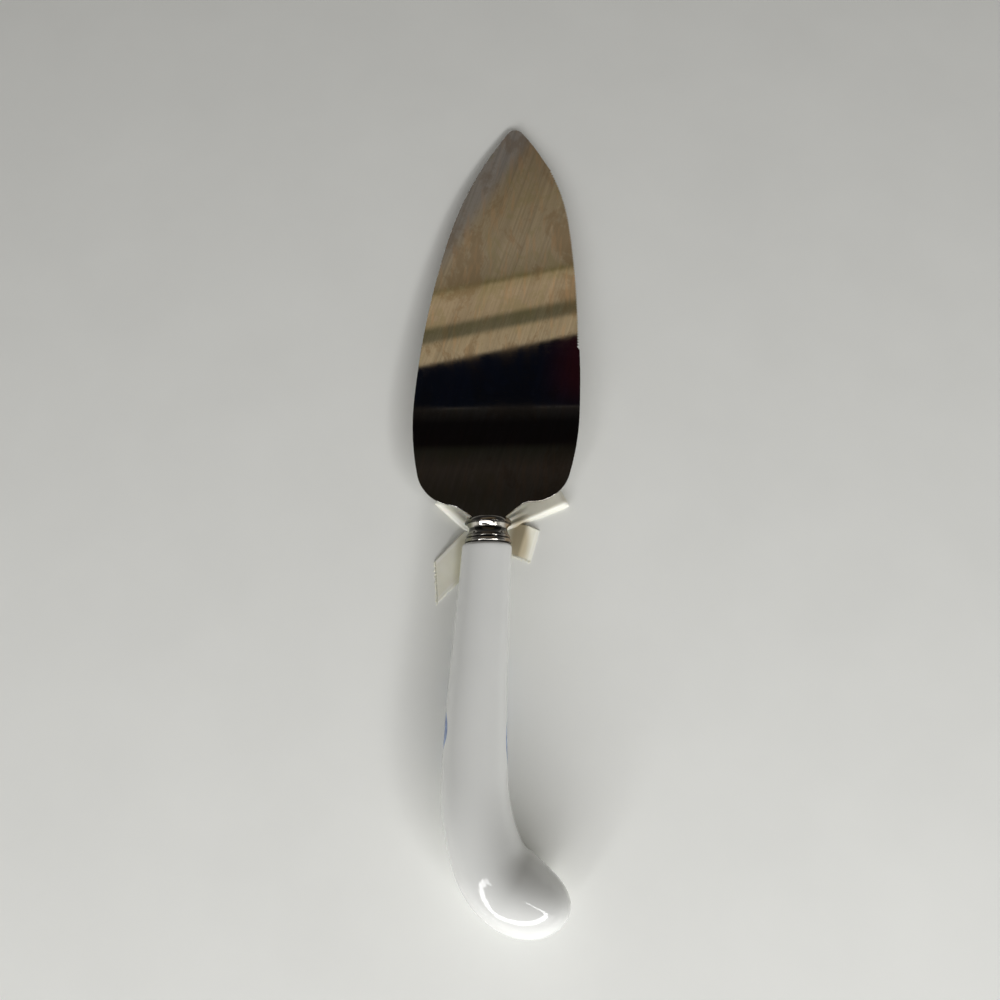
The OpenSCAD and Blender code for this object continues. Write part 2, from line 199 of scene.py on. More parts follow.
# Polishing lines, for the blade's steel
def makeScratchGroup():
    group = bpy.data.node_groups.new("polishLines", "ShaderNodeTree")
    group.interface.new_socket("Vector", in_out="INPUT", socket_type="NodeSocketVector")
    for name, value in (("Across", 900.0), ("Along", 30.0)):
        socket = group.interface.new_socket(name, in_out="INPUT", socket_type="NodeSocketFloat")
        socket.default_value = value
    group.interface.new_socket("Fine", in_out="OUTPUT", socket_type="NodeSocketFloat")
    group.interface.new_socket("Broad", in_out="OUTPUT", socket_type="NodeSocketFloat")
    inside, outside = group.nodes.new("NodeGroupInput"), group.nodes.new("NodeGroupOutput")
    broadShare, detail, roughness = 0.28, 4.0, 0.62
    for name, share in (("Fine", 1.0), ("Broad", broadShare)):
        across = times(group, inside.outputs["Across"], share)
        along = times(group, inside.outputs["Along"], share)
        scale = addNode(group, "ShaderNodeCombineXYZ", {0: across, 1: along, 2: along}).outputs[0]
        place = vectorMaths(group, "MULTIPLY", inside.outputs["Vector"], scale)
        lines = noiseAt(group, place, 1.0, detail, roughness)
        group.links.new(lines, outside.inputs[name])
    return group


polishLines = makeScratchGroup()


def addPolish(tree, place, across, along):
    node = addNode(tree, "ShaderNodeGroup", node_tree=polishLines)
    tree.links.new(place, node.inputs["Vector"])
    node.inputs["Across"].default_value = across
    node.inputs["Along"].default_value = along
    return node.outputs["Fine"], node.outputs["Broad"]


steel = {
    "colour": (0.64, 0.63, 0.62), "lineTurn": -14, "across": 1500, "along": 22, "lineShades": (0.8, 1.16),
    "lineBump": (0.00002 * mm, 0.1), "dull": (0.02, 0.05),
    # Patches and flecks: noise, squash along the blade, colours and strengths
    "patches": (62.0, 6.0, 0.74, 0.4), "patchLong": 0.6, "brown": (0.5, 0.44, 0.38), "brownShare": 0.75,
    "olive": (0.55, 0.56, 0.46), "oliveShare": 0.6,
    "flecks": (620.0, 2.0, 0.5), "fleckLong": 0.12, "fleck": (0.8, 0.64, 0.52), "fleckShare": 0.4,
    "flatAngle": 0.6, "edgeBevel": 0.22 * mm, "broadFace": 1000 * mm * mm, "neckEnd": 0.5 * mm,
    "sharpAngle": 60, "flatFrom": 0.99, "uprightTo": 0.3,
    # Teeth: places along the blade, the crest's part of the pitch, how far crest and valley move out,
    # the step under them, and how the edge is ground
    "toothFirst": 61.4 * mm, "toothLast": 132 * mm, "toothPitch": 1.03 * mm, "toothSlack": 0.05 * mm,
    "crestSpan": (0.25, 0.75),
    "crestOut": 0.4 * mm, "valleyOut": 0.15 * mm, "stepWide": 25.9 * mm, "stepEase": 1.4 * mm,
    "groundWide": 1.6 * mm, "groundDeep": 1.2 * mm, "underside": 0.5 * mm,
}


def steelMaterial():
    material, tree, shader = newMaterial("polishedSteel")
    place = objectPlace(tree, math.radians(-steel["lineTurn"]))
    fine, broad = addPolish(tree, place, steel["across"], steel["along"])
    lines = maths(tree, "ADD", times(tree, fine, 0.5), times(tree, broad, 0.5))
    darker, paler = steel["lineShades"]
    colour = ramp(tree, lines, [(0.36, shade(steel["colour"], darker)), (0.5, steel["colour"]),
                                (0.64, shade(steel["colour"], paler))])
    # Handling has left brown and olive patches, and short upright flecks
    patches = noiseAt(tree, objectPlace(tree, scale=(1, steel["patchLong"], 1)), *steel["patches"])
    flecks = noiseAt(tree, objectPlace(tree, scale=(1, steel["fleckLong"], 1)), *steel["flecks"])
    for noise, start, end, kind in ((patches, 0.5, 0.6, "brown"), (patches, 0.49, 0.4, "olive"),
                                    (flecks, 0.52, 0.7, "fleck")):
        share = between(tree, noise, start, end, 0.0, steel[kind + "Share"])
        colour = mixColours(tree, share, colour, steel[kind])
    tree.links.new(colour, shader.inputs["Base Color"])
    tree.links.new(between(tree, patches, 0.4, 0.66, *steel["dull"]), shader.inputs["Roughness"])
    shader.inputs["Metallic"].default_value = 1.0
    tree.links.new(bumpFrom(tree, fine, *steel["lineBump"]), shader.inputs["Normal"])
    return material


bladeUp = (onBlade.to_3x3() @ Vector((0, 0, 1))).normalized()


def isFlat(normal):
    return abs(normal.dot(bladeUp)) > steel["flatFrom"]


def isUpright(normal):
    return abs(normal.dot(bladeUp)) < steel["uprightTo"]


# The teeth stay crisp and a little fuller than in the CAD, and the step under them is eased
def shapeTeeth(bm):
    facingDown = [f for f in bm.faces if isFlat(f.normal) and f.normal.dot(bladeUp) < 0]
    under = max(facingDown, key=lambda f: f.calc_area())
    underHigh = bladeUp.dot(under.calc_center_median())
    bmesh.ops.inset_individual(bm, faces=[under], thickness=steel["groundWide"], use_even_offset=False)
    inner, toothed, toFlat = set(under.verts), set(), onBlade.inverted()
    crestFrom, crestTo = steel["crestSpan"]
    for v in bm.verts:
        place = toFlat @ v.co
        along = place.y - steel["toothFirst"]
        if v in inner or place.x < 0 or along < -steel["toothSlack"] or place.y > steel["toothLast"]:
            continue
        if place.x > steel["stepWide"]:
            v.co.y -= steel["stepEase"]
            continue
        isCrest = crestFrom < along / steel["toothPitch"] % 1 < crestTo
        v.co.x += steel["crestOut"] if isCrest else steel["valleyOut"]
        if bladeUp.dot(v.co) - underHigh < steel["underside"]:
            v.co += bladeUp * steel["groundDeep"]  # the edge is ground thin from the front
        toothed.add(v)
    return toothed


def makeBlade():
    bm = bmesh.new()
    bm.from_mesh(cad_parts["blade"].data)
    bmesh.ops.remove_doubles(bm, verts=bm.verts, dist=mergeGap)
    bmesh.ops.dissolve_limit(bm, angle_limit=math.radians(steel["flatAngle"]), verts=bm.verts,
                             edges=bm.edges)
    toothed = shapeTeeth(bm)
    rims = [e for e in bm.edges if len(e.link_faces) == 2 and not toothed.intersection(e.verts)
            and any(isFlat(f.normal) for f in e.link_faces)
            and any(isUpright(f.normal) for f in e.link_faces)
            and min(v.co.y for v in e.verts) > -stance["middleY"] + steel["neckEnd"]]
    bmesh.ops.bevel(bm, geom=rims, offset=steel["edgeBevel"], offset_type="OFFSET", affect="EDGES",
                    segments=2, profile=0.5, material=-1, clamp_overlap=True)
    # The broad faces are trued to one plane each, so that the mirror image stays whole
    for face in [f for f in bm.faces if isFlat(f.normal) and f.calc_area() > steel["broadFace"]]:
        high = bladeUp.dot(face.calc_center_median())
        for v in face.verts:
            v.co -= bladeUp * (bladeUp.dot(v.co) - high)
    piece = showPiece("bladePlate", meshFrom("bladePlate", bm, False), steelMaterial(),
                      ["blade"], steel["sharpAngle"])
    for polygon in piece.data.polygons:
        polygon.use_smooth = not isFlat(polygon.normal)


makeBlade()
print("blade done")


# The collar is turned from its profile: radius and distance down the axis
collar = {
    "profile": [(0, 0.0), (6.6, 0.0), (6.74, 0.05), (6.9, 0.24), (7.06, 0.5), (7.17, 0.75), (7.24, 1.0),
                (7.29, 1.27), (7.3, 1.44), (7.27, 1.5), (6.9, 1.56), (6.78, 1.68), (6.02, 2.66),
                (5.95, 2.77), (5.91, 2.9), (5.9, 3.05), (5.92, 3.4), (5.99, 3.8), (6.13, 4.3),
                (6.34, 4.75), (6.52, 5.03), (6.56, 5.12), (6.56, 5.32), (6.64, 5.38), (6.77, 5.44),
                (6.85, 5.6), (6.85, 5.78), (6.77, 5.95), (6.62, 6.04), (6.55, 6.08), (6.55, 6.27),
                (6.7, 6.32), (6.95, 6.4), (7.14, 6.6), (7.24, 6.85), (7.26, 7.1), (7.2, 7.4),
                (7.05, 7.63), (6.85, 7.76), (6.6, 7.79), (5.0, 7.79), (5.0, 1.52), (0, 1.52)],
    "steps": 96, "sharpAngle": 30, "colour": (0.7, 0.66, 0.6), "hazeShade": 0.86, "haze": (260.0, 3.0, 0.6),
    "dull": (0.015, 0.05),
    # Painted reflections on both sides, olive at the left and brown at the right: where they fade, and
    # their colour
    "left": ((-5.4, -4.2, 1.0, 0.0), (0.3, 0.29, 0.21)),
    "right": ((4.5, 5.8, 0.0, 1.0), (0.36, 0.27, 0.18)),
    # Brightness down the axis: painted reflection and shade bands, dark and light in turn, brightest on the
    # cove that mirrors the lamps
    "paintedReflectionBands": [(0.0, 0.42), (1.3, 0.5), (1.55, 0.08), (1.72, 0.12), (1.9, 1.0), (2.95, 1.0), (3.2, 0.1),
              (4.0, 0.12), (4.4, 0.5), (5.05, 0.45), (5.25, 0.12), (5.45, 0.75), (5.9, 0.7), (6.1, 0.08),
              (6.45, 0.12), (6.7, 0.95), (7.3, 0.9), (7.5, 0.12), (7.8, 0.08)],
}


def collarMaterial():
    material, tree, shader = newMaterial("brightCollar")
    place = objectPlace(tree)
    haze = noiseAt(tree, place, *collar["haze"])
    clean = collar["colour"]
    colour = ramp(tree, haze, [(0.3, shade(clean, collar["hazeShade"])), (0.6, clean)])
    # Distances down the collar and across it, from its middle
    skew, reach = stance["collarSkew"], stance["collarLong"] / 2
    middle = (-stance["middleX"], -stance["middleY"] - reach, 0)
    fromMiddle = vectorMaths(tree, "SUBTRACT", place, middle)
    down = vectorMaths(tree, "DOT_PRODUCT", fromMiddle, (math.sin(skew), -math.cos(skew), 0))
    across = vectorMaths(tree, "DOT_PRODUCT", fromMiddle, (math.cos(skew), math.sin(skew), 0))
    # Painted reflections: the sides are tinted as if they mirrored the ribbon and the floor, olive at the
    # left and brown at the right
    for (start, end, before, after), paintedReflectionTint in (collar["left"], collar["right"]):
        share = between(tree, across, start * mm, end * mm, before, after)
        colour = mixColours(tree, share, colour, paintedReflectionTint)
    # Painted reflections and shade: bands darken the collar along its axis, except on the cove where it
    # mirrors the lamps
    paintedReflectionBands = ramp(tree, between(tree, down, -reach, reach, smooth=False),
                 [(d * mm / stance["collarLong"], (grey, grey, grey)) for d, grey in collar["paintedReflectionBands"]])
    tree.links.new(mixColours(tree, 1.0, colour, paintedReflectionBands, "MULTIPLY"), shader.inputs["Base Color"])
    tree.links.new(between(tree, haze, 0.35, 0.75, *collar["dull"]), shader.inputs["Roughness"])
    shader.inputs["Metallic"].default_value = 1.0
    return material


def makeCollar():
    bm = bmesh.new()
    ring = [bm.verts.new((r * mm, 0, y * mm)) for r, y in collar["profile"]]
    edges = [bm.edges.new(pair) for pair in zip(ring, ring[1:])]
    bmesh.ops.spin(bm, geom=ring + edges, cent=(0, 0, 0), axis=(0, 0, 1), dvec=(0, 0, 0),
                   angle=math.tau, steps=collar["steps"], use_merge=True, use_duplicate=False)
    bmesh.ops.remove_doubles(bm, verts=bm.verts, dist=mergeGap)
    bmesh.ops.transform(bm, matrix=alongCollar, verts=bm.verts)
    showPiece("collarTurned", meshFrom("collarTurned", bm), collarMaterial(), ["ferrule"],
              collar["sharpAngle"])


makeCollar()
print("collar done")


# The porcelain handle: rings along its spine, joined by bridges
porcelain = {
    "straight": 35, "arcs": [(33, 568), (20.6, 52), (26.3, 16.4)], "cap": 16.8, "settle": 14,
    "width": (15.4, 21.4, 1.29), "depth": (15, 21.8, 1.6), "capPower": 2.2, "rim": 1.2,
    "boreRadius": 4.2, "boreDepth": 42, "boreStops": (1, 0.25, 0), "sides": 96, "rimRings": 6,
    "bodyRings": 96, "capRings": 34,
    "colour": (0.802, 0.807, 0.782), "cloudShade": 0.975, "cloud": (45.0, 2.0, 0.5), "glaze": (0.035, 0.07),
    "glazeScale": 150.0, "ior": 1.52, "waves": (95.0, 1.0), "waveBump": (0.03 * mm, 0.5), "sharpAngle": 50,
    # The sprig: its colours and strength, and the axis and radius about which the handle is unrolled
    "deepBlue": (0.07, 0.13, 0.36), "paleBlue": (0.24, 0.36, 0.62), "wash": (520.0, 3.0, 0.6),
    "paint": 0.92,
    "unroll": (-1.2, 10.3, 9.4), "leafBend": 0.35, "leafSoft": 0.12,
    # Stem, leaves and berries: place along the handle, place round it, turn, length and width
    "stem": (-74, 14.5, 4, 50, 0.7),
    "leaves": [(-80, -1.0, 0, 10.5, 8), (-70, 7.5, 52, 11, 4.4), (-58, 9, 38, 9, 3.6),
               (-88, 8, 118, 10, 4.2), (-64, 20.5, -36, 11, 4.2), (-76, 22.5, -54, 12, 4.6),
               (-90, 21, -118, 10, 4), (-52, 17, -20, 8, 3.2), (-97, 14, 2, 8, 3.4),
               (-82, -28.5, 0, 15, 3.4)],
    "berries": [(-47, 12.5), (-49.5, 9.8), (-101, 10), (-103, 17.5), (-69, 26.5), (-60.5, 25)],
    "berryWide": 2.1,
}


def handleLength():
    return porcelain["straight"] + sum(length for length, radius in porcelain["arcs"])


def handleSpine(s):
    place, heading = Vector((0, -min(s, porcelain["straight"]), 0)), -math.pi / 2
    left = s - porcelain["straight"]
    for length, radius in porcelain["arcs"]:
        if left <= 0:
            break
        after = heading + min(left, length) / radius
        place += radius * Vector((math.sin(after) - math.sin(heading),
                                  math.cos(heading) - math.cos(after), 0))
        heading, left = after, left - length
    return place, heading


def handleSize(s):
    capStart = handleLength() - porcelain["cap"]
    power = porcelain["capPower"]
    share = (1 - min(max(s - capStart, 0) / porcelain["cap"], 1) ** power) ** (1 / power)
    rim = porcelain["rim"]
    inset = rim - math.sqrt(rim * rim - (rim - s) ** 2) if s < rim else 0
    sizes = []
    for start, end, law in (porcelain["width"], porcelain["depth"]):
        sizes.append((start + (end - start) * (min(s, capStart) / capStart) ** law) / 2 * share - inset)
    return sizes


def ringAt(bm, s, wide, deep):
    centre, heading = handleSpine(s)
    heading += stance["collarSkew"] * (1 - min(s / porcelain["settle"], 1)) ** 2
    turned = Matrix.Rotation(heading, 4, "Z") @ Matrix.Rotation(math.radians(90), 4, "Y")
    sized = Matrix.Diagonal((deep, wide, 1, 1))
    made = bmesh.ops.create_circle(bm, cap_ends=False, segments=porcelain["sides"], radius=1.0,
                                   matrix=Matrix.Translation(centre) @ turned @ sized)
    return made["verts"]


def makeHandle():
    length = handleLength()
    capStart = length - porcelain["cap"]
    bm = bmesh.new()
    bore, rim = porcelain["boreRadius"], porcelain["rim"]
    rimRings, bodyRings = porcelain["rimRings"], porcelain["bodyRings"]
    stops = [(share * porcelain["boreDepth"], bore, bore) for share in porcelain["boreStops"]]
    places = [rim * (1 - math.cos(math.radians(90 * i / rimRings))) for i in range(rimRings)]
    places += [rim + (capStart - rim) * i / bodyRings for i in range(bodyRings + 1)]
    places += [capStart + porcelain["cap"] * math.sin(math.radians(90 * i / porcelain["capRings"]))
               for i in range(1, porcelain["capRings"])]
    stops += [(s, *handleSize(s)) for s in places]
    rings = [ringAt(bm, *stop) for stop in stops]
    for first, second in zip(rings, rings[1:]):
        edges = [e for ring in (first, second) for e in {e for v in ring for e in v.link_edges}
                 if all(v in ring for v in e.verts)]
        bmesh.ops.bridge_loops(bm, edges=edges)
    for ring in (rings[0], rings[-1]):
        made = bmesh.ops.extrude_edge_only(bm, edges=[e for e in {e for v in ring for e in v.link_edges}
                                                      if e.is_boundary])
        corners = [v for v in made["geom"] if isinstance(v, bmesh.types.BMVert)]
        middle = sum((v.co for v in corners), Vector()) / len(corners)
        if ring is rings[-1]:
            middle = handleSpine(length)[0]
        bmesh.ops.pointmerge(bm, verts=corners, merge_co=middle)
    bmesh.ops.scale(bm, vec=(mm, mm, mm), verts=bm.verts)
    start = Matrix.Translation((0, -stance["handleStart"], 0))
    bmesh.ops.transform(bm, matrix=onHandle @ start, verts=bm.verts)
    showPiece("handleGlazed", meshFrom("handleGlazed", bm), porcelainMaterial(),
              ["handle"], porcelain["sharpAngle"])


# One painted leaf: a lens between two points, on the handle's unrolled surface
def makeLeafGroup():
    group = bpy.data.node_groups.new("leafShape", "ShaderNodeTree")
    for name in ("Vector", "Centre", "Size"):
        group.interface.new_socket(name, in_out="INPUT", socket_type="NodeSocketVector")
    group.interface.new_socket("Turn", in_out="INPUT", socket_type="NodeSocketFloat")
    group.interface.new_socket("Mask", in_out="OUTPUT", socket_type="NodeSocketFloat")
    inside, outside = group.nodes.new("NodeGroupInput"), group.nodes.new("NodeGroupOutput")
    moved = vectorMaths(group, "SUBTRACT", inside.outputs["Vector"], inside.outputs["Centre"])
    turned = addNode(group, "ShaderNodeVectorRotate", {"Vector": moved, "Angle": inside.outputs["Turn"]},
                     rotation_type="Z_AXIS").outputs[0]
    sized = vectorMaths(group, "DIVIDE", turned, inside.outputs["Size"])
    split = addNode(group, "ShaderNodeSeparateXYZ", {0: sized})
    squared = times(group, split.outputs[0], split.outputs[0])
    bent = maths(group, "ADD", split.outputs[1], times(group, squared, porcelain["leafBend"]))
    margin = minus(group, minus(group, 1.0, squared), maths(group, "ABSOLUTE", bent))
    group.links.new(between(group, margin, 0.0, porcelain["leafSoft"]), outside.inputs["Mask"])
    return group


# The blue sprig lies on the side that faces the table, and only its outermost tips show from above
def paintSprig(tree, place, ground):
    middleX, middleZ, radius = (v * mm for v in porcelain["unroll"])
    split = addNode(tree, "ShaderNodeSeparateXYZ", {0: place})
    down = minus(tree, middleZ, split.outputs[2])
    out = minus(tree, middleX, split.outputs[0])
    rounds = times(tree, maths(tree, "ARCTAN2", down, out), radius)
    flat = addNode(tree, "ShaderNodeCombineXYZ", {0: split.outputs[1], 1: rounds}).outputs[0]
    leafShape = makeLeafGroup()
    wide = porcelain["berryWide"]
    marks = [porcelain["stem"]] + porcelain["leaves"]
    marks += [(y, q, 0, wide, wide) for y, q in porcelain["berries"]]
    covered = 0.0
    for y, q, turn, length, width in marks:
        leaf = addNode(tree, "ShaderNodeGroup", node_tree=leafShape)
        tree.links.new(flat, leaf.inputs["Vector"])
        leaf.inputs["Centre"].default_value = (y * mm, q * mm, 0)
        leaf.inputs["Size"].default_value = (length / 2 * mm, width / 2 * mm, 1)
        leaf.inputs["Turn"].default_value = math.radians(turn)
        covered = maths(tree, "MAXIMUM", leaf.outputs["Mask"], covered)
    wash = noiseAt(tree, place, *porcelain["wash"])
    blue = ramp(tree, wash, [(0.35, porcelain["deepBlue"]), (0.65, porcelain["paleBlue"])])
    return mixColours(tree, times(tree, covered, porcelain["paint"]), ground, blue)


def porcelainMaterial():
    material, tree, shader = newMaterial("whiteGlaze")
    place = objectPlace(tree)
    cloud = noiseAt(tree, place, *porcelain["cloud"])
    white = porcelain["colour"]
    colour = ramp(tree, cloud, [(0.35, shade(white, porcelain["cloudShade"])), (0.65, white)])
    tree.links.new(paintSprig(tree, place, colour), shader.inputs["Base Color"])
    breath = noiseAt(tree, place, porcelain["glazeScale"])
    tree.links.new(between(tree, breath, 0.35, 0.7, *porcelain["glaze"]), shader.inputs["Roughness"])
    shader.inputs["IOR"].default_value = porcelain["ior"]
    waves = noiseAt(tree, place, *porcelain["waves"])
    tree.links.new(bumpFrom(tree, waves, *porcelain["waveBump"]), shader.inputs["Normal"])
    return material


makeHandle()
print("handle done")


# Cement and glue keep their CAD shapes
fillings = {
    "cement": {"noise": (1800.0, 5.0, 0.7), "colours": ((0.46, 0.43, 0.36), (0.66, 0.63, 0.55)),
               "dull": (0.75, 0.95), "bump": 0.08 * mm, "clear": 0.0},
    "clearGlue": {"noise": (900.0, 2.0, 0.5), "colours": ((0.8, 0.78, 0.66), (0.9, 0.89, 0.8)),
                  "dull": (0.12, 0.3), "bump": 0.05 * mm, "clear": 0.6},
}


def fillNode(nodeName, kind):
    look = fillings[kind]
    material, tree, shader = newMaterial(kind)
    grain = noiseAt(tree, objectPlace(tree), *look["noise"])
    dark, pale = look["colours"]
    tree.links.new(ramp(tree, grain, [(0.3, dark), (0.7, pale)]), shader.inputs["Base Color"])
    tree.links.new(between(tree, grain, 0.3, 0.7, *look["dull"]), shader.inputs["Roughness"])
    shader.inputs["Transmission Weight"].default_value = look["clear"]
    tree.links.new(bumpFrom(tree, grain, look["bump"]), shader.inputs["Normal"])
    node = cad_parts[nodeName]
    node.data.materials.clear()
    node.data.materials.append(material)


fillNode("handle_cement", "cement")
fillNode("bow_glue", "clearGlue")


# The bow: every fold of the ribbon is a strip bent into place
ribbon = {
    "width": 10.5, "thick": 0.2, "table": 0.12, "knotDown": 3.3, "rootUp": 1.4, "gather": 0.45,
    "colour": (0.975, 0.955, 0.82), "cloudShade": 0.94, "cloud": (240.0, 2.0), "warp": (90, 5200, 0),
    "warpNoise": (1.0, 2.0, 0.6),
    "warpLine": (0.6, 0.55, 0.38), "warpShare": 0.12, "selvage": (0.985, 0.97, 0.87), "selvageWide": 2 * mm,
    "selvageLines": [(0.0, 1), (0.24, 1), (0.31, 0.1), (0.38, 1), (0.6, 0.8), (0.72, 0)],
    "pick": 0.34 * mm, "weaveBump": (0.015 * mm, 0.5), "dull": (0.36, 0.5), "sheen": (0.25, 0.35),
    "inner": 0.12, "innerFar": (0.6 * mm, 0.5 * mm, 0.3 * mm),
    # Painted shade, tan, beside the collar and painted shadow, olive, beside the handle: middle and reach,
    # or the limits in x and y
    "tan": (0.45, 0.35, 0.18), "paintedShadeMiddle": (8.8 * mm, -22 * mm, 0), "paintedShadeReach": (4.4 * mm, 11 * mm, 1),
    "paintedShadeFade": (0.4, 1.0), "paintedShadeShare": 0.75, "olive": (0.5, 0.47, 0.3), "oliveShare": 0.6,
    "paintedShadowLimits": ((-12.4 * mm, -9.8 * mm), (-6 * mm, -4 * mm), (-24 * mm, -20 * mm)),
    # Loops: height at the end and at the root, start, and how far from the root pleats and curls reach
    "loopHigh": (4.0, 1.75), "loopEase": 0.9, "loopStart": 3.0,
    "pleatFrom": 4, "pleatRun": 12, "pleatLow": 0.4, "pleatWaves": 3.2,
    "curlFrom": 0.72, "curlRun": 8, "curlPower": 1.6,
    "loops": {
        "left": {"turn": 142, "spread": 0.3, "length": 18.8, "curl": 1.0, "pleat": 0.22, "tilt": 0.5},
        "right": {"turn": 31.6, "spread": 0.97, "length": 26.7, "curl": 1.6, "pleat": 0.25, "tilt": 2.3},
    },
    # Tails: shares of the length over which they spread, fall and swell, pleats and waves, and the crease
    "tailSpread": 0.36, "tailFall": 0.9, "tailSwell": 0.45, "tailRise": 1.45, "tailPleat": 0.25,
    "tailPleatRun": 0.5, "tailPleatWaves": 3, "tailWave": 0.18, "tailWaves": (2.2, 4),
    "creaseUp": 0.03, "creaseFade": 0.3,
    "tails": {
        "left": {"root": (0, 0), "turn": 228.2, "length": 23.4, "slant": -40, "gather": 0.45,
                 "crease": (0, 0), "swell": 0.8},
        "right": {"root": (11.3, 2.2), "turn": 257, "length": 10.3, "slant": -2, "gather": 1.0,
                  "crease": (0.2, 2.8), "swell": 0},
    },
    "knot": {"long": 8.6, "deep": 3.35, "middle": 0.95, "high": 0.8, "square": 4, "up": 0.05,
             "pad": 0.85, "padFrom": 1.2, "padHalf": 0.7, "padEdge": 1.1, "pinch": 0.08,
             "pinchWaves": 2.5, "ends": 0.1, "endPower": 4, "run": 17.0},
    "threads": 26, "threadRadius": 0.17, "threadLong": (0.7, 1.3), "threadTurn": 22,
    "threadStray": 0.3, "threadFoot": 0.96, "threadLift": 0.2, "threadSunk": 0.15, "threadUp": 0.04,
    "threadTaper": 0.6,
    "threadColours": ((0.88, 0.86, 0.72), (0.96, 0.94, 0.82)), "threadDull": (0.6, 0.8),
    "threadNoise": (4000.0, 2.0),
}
atKnot = onTable @ Matrix.Translation((0, -ribbon["knotDown"] * mm, 0))


def satinMaterial():
    material, tree, shader = newMaterial("ivorySatin")
    uv = addNode(tree, "ShaderNodeUVMap", uv_map="cloth").outputs["UV"]
    split = addNode(tree, "ShaderNodeSeparateXYZ", {0: uv})
    along, across = split.outputs[0], split.outputs[1]
    picks = maths(tree, "SINE", times(tree, along, math.tau / ribbon["pick"]))
    threads = noiseAt(tree, vectorMaths(tree, "MULTIPLY", uv, ribbon["warp"]), *ribbon["warpNoise"])
    # Each edge has a double pale line woven in
    fromEdge = minus(tree, ribbon["width"] * mm / 2, maths(tree, "ABSOLUTE", across))
    selvage = ramp(tree, between(tree, fromEdge, 0.0, ribbon["selvageWide"], smooth=False),
                   [(at, (grey, grey, grey)) for at, grey in ribbon["selvageLines"]])
    place = objectPlace(tree)
    base = ramp(tree, noiseAt(tree, place, *ribbon["cloud"]),
                [(0.3, shade(ribbon["colour"], ribbon["cloudShade"])), (0.7, ribbon["colour"])])
    lined = mixColours(tree, times(tree, threads, ribbon["warpShare"]), base, ribbon["warpLine"])
    colour = mixColours(tree, selvage, lined, ribbon["selvage"])
    # Painted shade beside the collar makes the ribbon tan there, and a painted shadow beside the handle
    # makes it olive
    spread = vectorMaths(tree, "SUBTRACT", place, ribbon["paintedShadeMiddle"])
    spread = vectorMaths(tree, "LENGTH", vectorMaths(tree, "DIVIDE", spread, ribbon["paintedShadeReach"]))
    paintedCollarShade = between(tree, spread, *ribbon["paintedShadeFade"], ribbon["paintedShadeShare"], 0.0)
    colour = mixColours(tree, paintedCollarShade, colour, ribbon["tan"])
    # Painted shadow: an olive strip on the ribbon along the handle's left side
    spot = addNode(tree, "ShaderNodeSeparateXYZ", {0: place})
    outer, inner, behind = ribbon["paintedShadowLimits"]
    paintedHandleShadow = times(tree, between(tree, spot.outputs[0], *outer),
                   times(tree, between(tree, spot.outputs[0], *inner, 1.0, 0.0),
                         between(tree, spot.outputs[1], *behind, 1.0, 0.0)))
    colour = mixColours(tree, times(tree, paintedHandleShadow, ribbon["oliveShare"]), colour, ribbon["olive"])
    tree.links.new(colour, shader.inputs["Base Color"])
    tree.links.new(between(tree, threads, 0.3, 0.7, *ribbon["dull"]), shader.inputs["Roughness"])
    sheen, sheenDull = ribbon["sheen"]
    shader.inputs["Sheen Weight"].default_value = sheen
    shader.inputs["Sheen Roughness"].default_value = sheenDull
    shader.inputs["Subsurface Weight"].default_value = ribbon["inner"]
    shader.inputs["Subsurface Radius"].default_value = ribbon["innerFar"]
    weave = maths(tree, "ADD", times(tree, picks, 0.5), times(tree, threads, 0.8))
    tree.links.new(bumpFrom(tree, weave, *ribbon["weaveBump"]), shader.inputs["Normal"])
    return material


def threadMaterial():
    material, tree, shader = newMaterial("looseThread")
    twist = noiseAt(tree, objectPlace(tree), *ribbon["threadNoise"])
    dark, pale = ribbon["threadColours"]
    tree.links.new(ramp(tree, twist, [(0.3, dark), (0.7, pale)]), shader.inputs["Base Color"])
    tree.links.new(between(tree, twist, 0.3, 0.7, *ribbon["threadDull"]), shader.inputs["Roughness"])
    return material


satin = satinMaterial()
threadPaint = threadMaterial()


def stripPiece(name, along, across, shape, place, stoodFor, run):
    bm = bmesh.new()
    bmesh.ops.create_grid(bm, x_segments=along, y_segments=across, size=1.0)
    uvLayer = bm.loops.layers.uv.new("cloth")
    shares = {v: ((v.co.x + 1) / 2, v.co.y) for v in bm.verts}
    for v in bm.verts:
        v.co = shape(*shares[v])
    for face in bm.faces:
        for loop in face.loops:
            share, side = shares[loop.vert]
            loop[uvLayer].uv = (share * run * mm, side * ribbon["width"] / 2 * mm)
    bmesh.ops.scale(bm, vec=(mm, mm, mm), verts=bm.verts)
    bmesh.ops.transform(bm, matrix=place, verts=bm.verts)
    piece = showPiece(name, meshFrom(name, bm, False), satin, stoodFor, 180)
    solid = piece.modifiers.new("thickness", "SOLIDIFY")
    solid.thickness = ribbon["thick"] * mm
    solid.offset = 0


